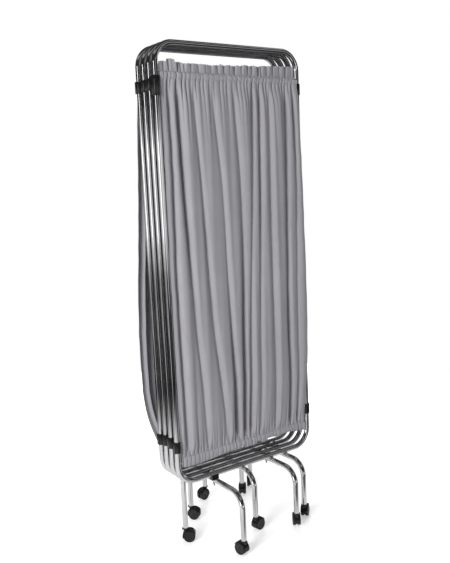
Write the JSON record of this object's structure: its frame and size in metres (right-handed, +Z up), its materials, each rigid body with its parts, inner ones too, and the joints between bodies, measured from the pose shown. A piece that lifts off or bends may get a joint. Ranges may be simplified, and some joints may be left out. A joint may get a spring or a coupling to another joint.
{
  "type": "folding privacy screen",
  "caption": "Folding ward privacy screen: chromed tube frames with gathered grey curtains, hinged in a zigzag by black links, on tube arches with black twin-wheel swivel casters.",
  "frame": {"origin": "middle of the underside of the object's box, on the floor", "axes": "+Z up, +X along the folded panels from their free stiles towards the front panel's hinge, +Y from the front panel to the rear one"},
  "size_m": [0.5988, 0.4717, 1.6887],
  "materials": {
    "chrome_tube": "bright chrome plate",
    "curtain_cloth": "plain grey woven cloth, gathered",
    "rod_steel": "plain zinc-plated steel",
    "bolt_steel": "zinc-plated steel",
    "black_fitting": "satin black moulded plastic",
    "caster_black": "satin black moulded plastic",
    "wheel_black": "black moulded nylon, slightly worn"
  },
  "bodies": {
    "front_panel": {"front_frame": "chrome_tube", "front_curtain": "curtain_cloth", "front_top_rod": "rod_steel", "front_bottom_rod": "rod_steel", "front_foot_arch": "chrome_tube", "front_saddle": "black_fitting", "front_foot_bolt": "bolt_steel", "front_upper_end_clip": "black_fitting", "front_lower_end_clip": "black_fitting"},
    "second_panel": {"second_frame": "chrome_tube", "second_curtain": "curtain_cloth", "second_top_rod": "rod_steel", "second_bottom_rod": "rod_steel", "second_foot_arch": "chrome_tube", "second_saddle": "black_fitting", "second_foot_bolt": "bolt_steel", "hinge_leg": "chrome_tube", "hinge_leg_plug": "chrome_tube", "hinge_leg_bolt": "bolt_steel"},
    "third_panel": {"third_frame": "chrome_tube", "third_curtain": "curtain_cloth", "third_top_rod": "rod_steel", "third_bottom_rod": "rod_steel", "third_foot_arch": "chrome_tube", "third_saddle": "black_fitting", "third_foot_bolt": "bolt_steel"},
    "rear_panel": {"rear_frame": "chrome_tube", "rear_curtain": "curtain_cloth", "rear_top_rod": "rod_steel", "rear_bottom_rod": "rod_steel", "rear_foot_arch": "chrome_tube", "rear_saddle": "black_fitting", "rear_foot_bolt": "bolt_steel", "rear_upper_end_clip": "black_fitting", "rear_lower_end_clip": "black_fitting"},
    "front_link": {"front_upper_link": "black_fitting", "front_lower_link": "black_fitting"},
    "middle_link": {"middle_upper_link": "black_fitting", "middle_lower_link": "black_fitting"},
    "rear_link": {"rear_upper_link": "black_fitting", "rear_lower_link": "black_fitting"},
    "front_front_caster": {"front_front_caster_body": "caster_black"},
    "front_front_wheels": {"front_front_caster_wheels": "wheel_black"},
    "front_back_caster": {"front_back_caster_body": "caster_black"},
    "front_back_wheels": {"front_back_caster_wheels": "wheel_black"},
    "second_front_caster": {"second_front_caster_body": "caster_black"},
    "second_front_wheels": {"second_front_caster_wheels": "wheel_black"},
    "second_back_caster": {"second_back_caster_body": "caster_black"},
    "second_back_wheels": {"second_back_caster_wheels": "wheel_black"},
    "third_front_caster": {"third_front_caster_body": "caster_black"},
    "third_front_wheels": {"third_front_caster_wheels": "wheel_black"},
    "third_back_caster": {"third_back_caster_body": "caster_black"},
    "third_back_wheels": {"third_back_caster_wheels": "wheel_black"},
    "rear_front_caster": {"rear_front_caster_body": "caster_black"},
    "rear_front_wheels": {"rear_front_caster_wheels": "wheel_black"},
    "rear_back_caster": {"rear_back_caster_body": "caster_black"},
    "rear_back_wheels": {"rear_back_caster_wheels": "wheel_black"},
    "hinge_leg_caster": {"hinge_leg_caster_body": "caster_black"},
    "hinge_leg_wheels": {"hinge_leg_caster_wheels": "wheel_black"}
  },
  "joints": [
    {"name": "front_link_turn", "type": "hinge", "parent": "front_panel", "child": "front_link", "pos_m": [0.287, -0.054, 0.95], "axis": [0, 0, -1], "range_deg": [0, 90]},
    {"name": "second_panel_turn", "type": "hinge", "parent": "front_link", "child": "second_panel", "pos_m": [0.287, -0.018, 0.95], "axis": [0, 0, -1], "range_deg": [0, 90]},
    {"name": "middle_link_turn", "type": "hinge", "parent": "second_panel", "child": "middle_link", "pos_m": [-0.287, -0.018, 0.95], "axis": [0, 0, 1], "range_deg": [0, 90]},
    {"name": "third_panel_turn", "type": "hinge", "parent": "middle_link", "child": "third_panel", "pos_m": [-0.287, 0.018, 0.95], "axis": [0, 0, 1], "range_deg": [0, 90]},
    {"name": "rear_link_turn", "type": "hinge", "parent": "third_panel", "child": "rear_link", "pos_m": [0.287, 0.018, 0.95], "axis": [0, 0, -1], "range_deg": [0, 90]},
    {"name": "rear_panel_turn", "type": "hinge", "parent": "rear_link", "child": "rear_panel", "pos_m": [0.287, 0.054, 0.95], "axis": [0, 0, -1], "range_deg": [0, 90]},
    {"name": "front_front_swivel", "type": "hinge", "parent": "front_panel", "child": "front_front_caster", "pos_m": [-0.14652, -0.2205, 0.05], "axis": [0, 0, 1], "continuous": true},
    {"name": "front_front_roll", "type": "hinge", "parent": "front_front_caster", "child": "front_front_wheels", "pos_m": [-0.14922, -0.20881, 0.021], "axis": [-0.9744, -0.225, 0], "continuous": true},
    {"name": "front_back_swivel", "type": "hinge", "parent": "front_panel", "child": "front_back_caster", "pos_m": [-0.14652, 0.1125, 0.05], "axis": [0, 0, 1], "continuous": true},
    {"name": "front_back_roll", "type": "hinge", "parent": "front_back_caster", "child": "front_back_wheels", "pos_m": [-0.13964, 0.10267, 0.021], "axis": [0.8192, 0.5736, 0], "continuous": true},
    {"name": "second_front_swivel", "type": "hinge", "parent": "second_panel", "child": "second_front_caster", "pos_m": [0.11411, -0.1845, 0.05], "axis": [0, 0, 1], "continuous": true},
    {"name": "second_front_roll", "type": "hinge", "parent": "second_front_caster", "child": "second_front_wheels", "pos_m": [0.12082, -0.17455, 0.021], "axis": [-0.829, 0.5592, 0], "continuous": true},
    {"name": "second_back_swivel", "type": "hinge", "parent": "second_panel", "child": "second_back_caster", "pos_m": [0.11411, 0.1485, 0.05], "axis": [0, 0, 1], "continuous": true},
    {"name": "second_back_roll", "type": "hinge", "parent": "second_back_caster", "child": "second_back_wheels", "pos_m": [0.12182, 0.15769, 0.021], "axis": [-0.766, 0.6428, 0], "continuous": true},
    {"name": "third_front_swivel", "type": "hinge", "parent": "third_panel", "child": "third_front_caster", "pos_m": [0.18204, -0.1485, 0.05], "axis": [0, 0, 1], "continuous": true},
    {"name": "third_front_roll", "type": "hinge", "parent": "third_front_caster", "child": "third_front_wheels", "pos_m": [0.19123, -0.14079, 0.021], "axis": [-0.6428, 0.766, 0], "continuous": true},
    {"name": "third_back_swivel", "type": "hinge", "parent": "third_panel", "child": "third_back_caster", "pos_m": [0.18204, 0.1845, 0.05], "axis": [0, 0, 1], "continuous": true},
    {"name": "third_back_roll", "type": "hinge", "parent": "third_back_caster", "child": "third_back_wheels", "pos_m": [0.18875, 0.19445, 0.021], "axis": [-0.829, 0.5592, 0], "continuous": true},
    {"name": "rear_front_swivel", "type": "hinge", "parent": "rear_panel", "child": "rear_front_caster", "pos_m": [-0.0151, -0.1125, 0.05], "axis": [0, 0, 1], "continuous": true},
    {"name": "rear_front_roll", "type": "hinge", "parent": "rear_front_caster", "child": "rear_front_wheels", "pos_m": [-0.00328, -0.11042, 0.021], "axis": [-0.1736, 0.9848, 0], "continuous": true},
    {"name": "rear_back_swivel", "type": "hinge", "parent": "rear_panel", "child": "rear_back_caster", "pos_m": [-0.0151, 0.2205, 0.05], "axis": [0, 0, 1], "continuous": true},
    {"name": "rear_back_roll", "type": "hinge", "parent": "rear_back_caster", "child": "rear_back_wheels", "pos_m": [-0.02683, 0.21801, 0.021], "axis": [0.2079, -0.9781, 0], "continuous": true},
    {"name": "hinge_leg_swivel", "type": "hinge", "parent": "second_panel", "child": "hinge_leg_caster", "pos_m": [-0.251, -0.018, 0.05], "axis": [0, 0, 1], "continuous": true},
    {"name": "hinge_leg_roll", "type": "hinge", "parent": "hinge_leg_caster", "child": "hinge_leg_wheels", "pos_m": [-0.24117, -0.02488, 0.021], "axis": [0.5736, 0.8192, 0], "continuous": true}
  ],
  "couplings": [
    {"joint": "front_link_turn", "follows": "second_panel_turn", "ratio": 1},
    {"joint": "middle_link_turn", "follows": "third_panel_turn", "ratio": 1},
    {"joint": "rear_link_turn", "follows": "rear_panel_turn", "ratio": 1}
  ]
}
